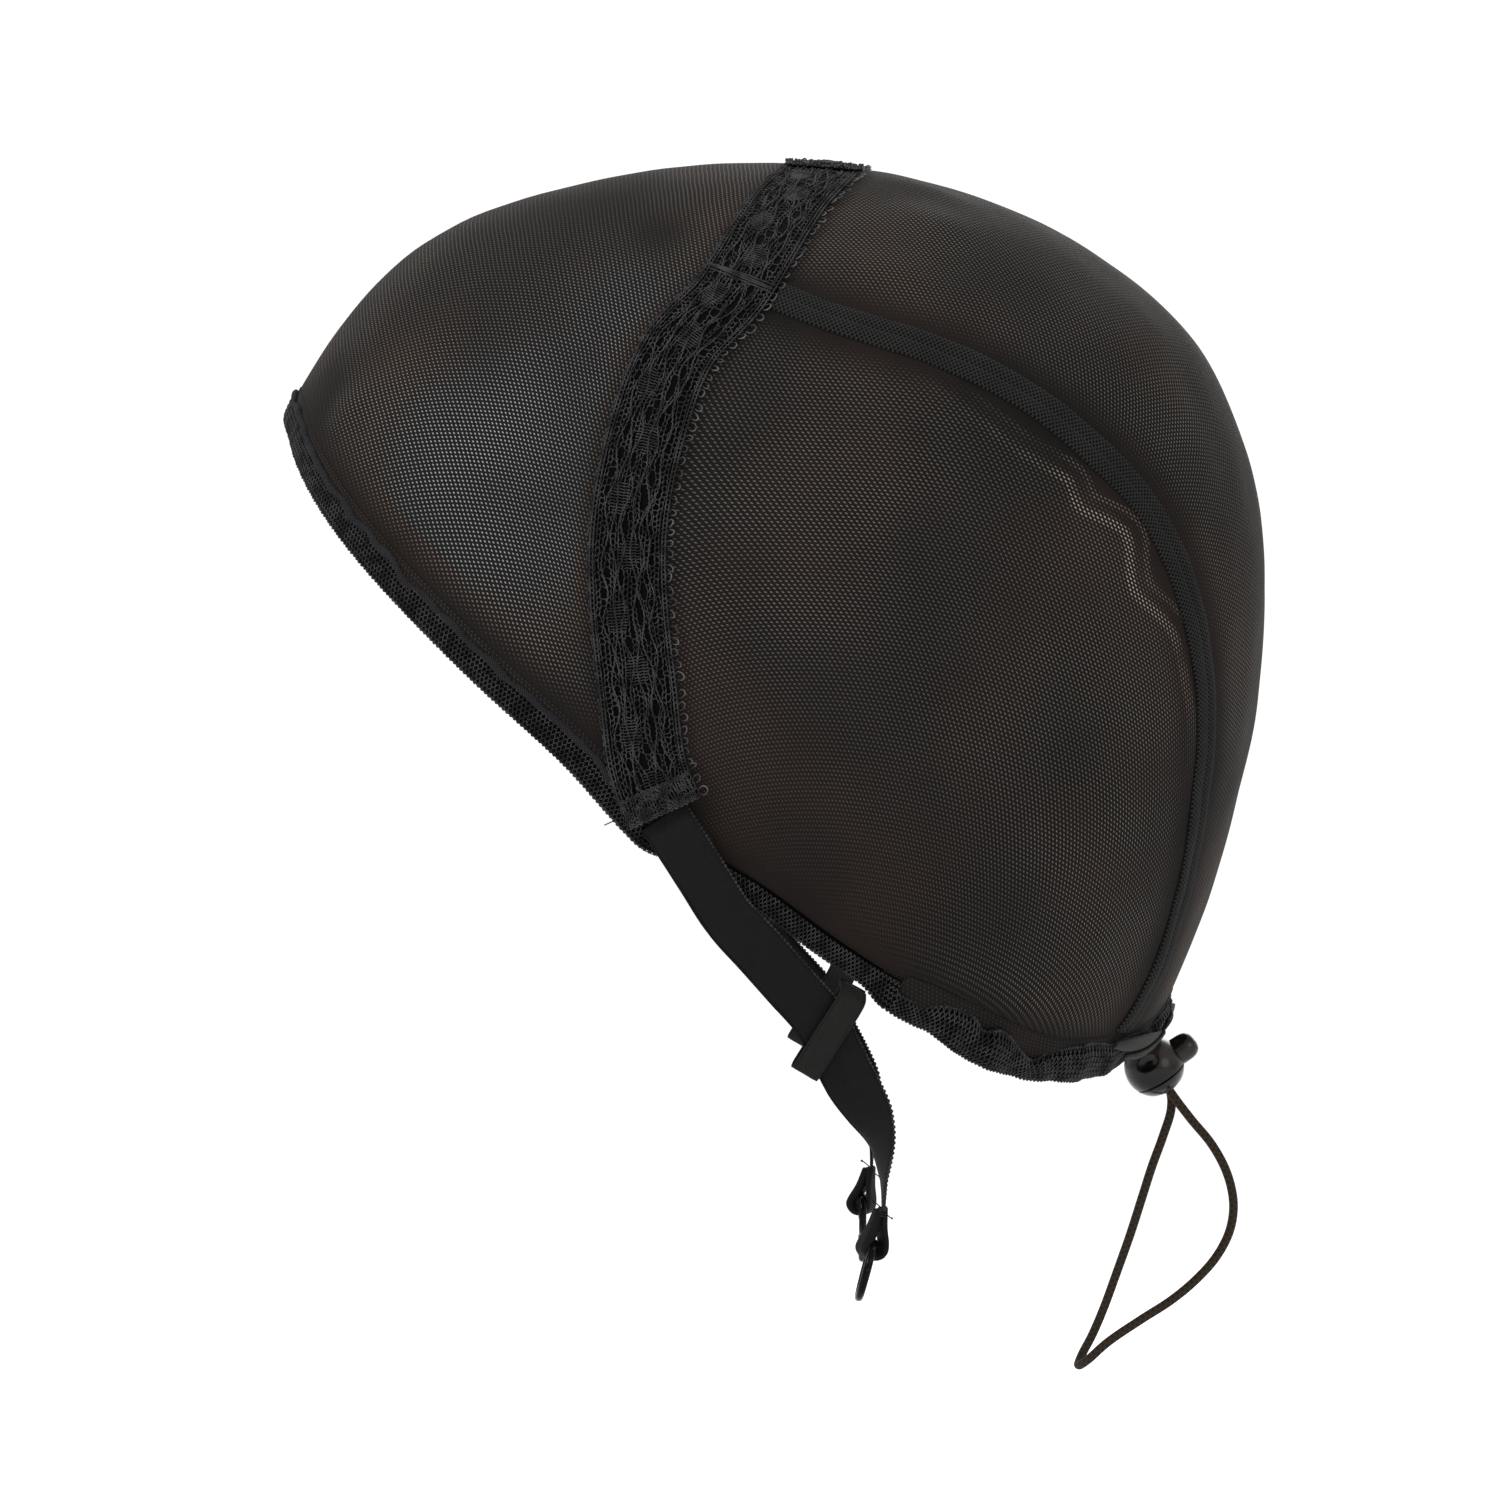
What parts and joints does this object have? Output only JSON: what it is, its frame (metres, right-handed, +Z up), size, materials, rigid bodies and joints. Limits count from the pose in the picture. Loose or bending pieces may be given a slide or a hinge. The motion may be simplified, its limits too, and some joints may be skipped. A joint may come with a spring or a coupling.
{
  "type": "drawstring wig cap",
  "caption": "Soft net wig cap with a lace band from ear to ear, a honeycomb hem, hanging elastic straps and a drawstring nape with a sprung cord lock.",
  "frame": {"origin": "inside of the crown, at the top of the head that the cap is worn on", "axes": "+Z up through the crown, -Y towards the wearer's face, +X towards the wearer's left ear"},
  "size_m": [0.154, 0.1956, 0.2423],
  "materials": {
    "net": "matt stretch net with a fine staggered mesh of small holes",
    "lace": "matt stretch lace, open, with looped edges",
    "seam_tape": "matt doubled net strip",
    "hem_mesh": "matt honeycomb mesh, gathered",
    "strap_elastic": "satin woven elastic with beaded edges",
    "satin_ribbon": "soft satin ribbon",
    "ring_metal": "gloss black coating",
    "lock_plastic": "gloss moulded plastic with a parting groove",
    "cord_elastic": "twisted elastic cord, satin"
  },
  "bodies": {
    "cap": {"front_panel": "net", "side_panel_left": "net", "side_panel_right": "net", "back_panel": "net", "lace_band_left": "lace", "lace_band_right": "lace", "lace_crown": "lace", "seam_tape_left": "seam_tape", "seam_tape_right": "seam_tape", "front_hem": "hem_mesh", "side_hem_left": "hem_mesh", "side_hem_right": "hem_mesh", "nape_casing": "hem_mesh", "strap_left": "strap_elastic", "strap_right": "strap_elastic", "keeper_left": "satin_ribbon", "keeper_right": "satin_ribbon", "cord_tape": "satin_ribbon", "strap_ring": "ring_metal", "strap_hook": "ring_metal", "lock_barrel": "lock_plastic", "draw_cord": "cord_elastic"},
    "plunger": {"lock_plunger": "lock_plastic"}
  },
  "joints": [
    {"name": "button_press", "type": "slide", "parent": "cap", "child": "plunger", "axis": [0, 0.8387, 0.5446], "range_m": [-0.0015, 0], "stiffness_N_per_m": 400, "springref_m": 0.001}
  ]
}
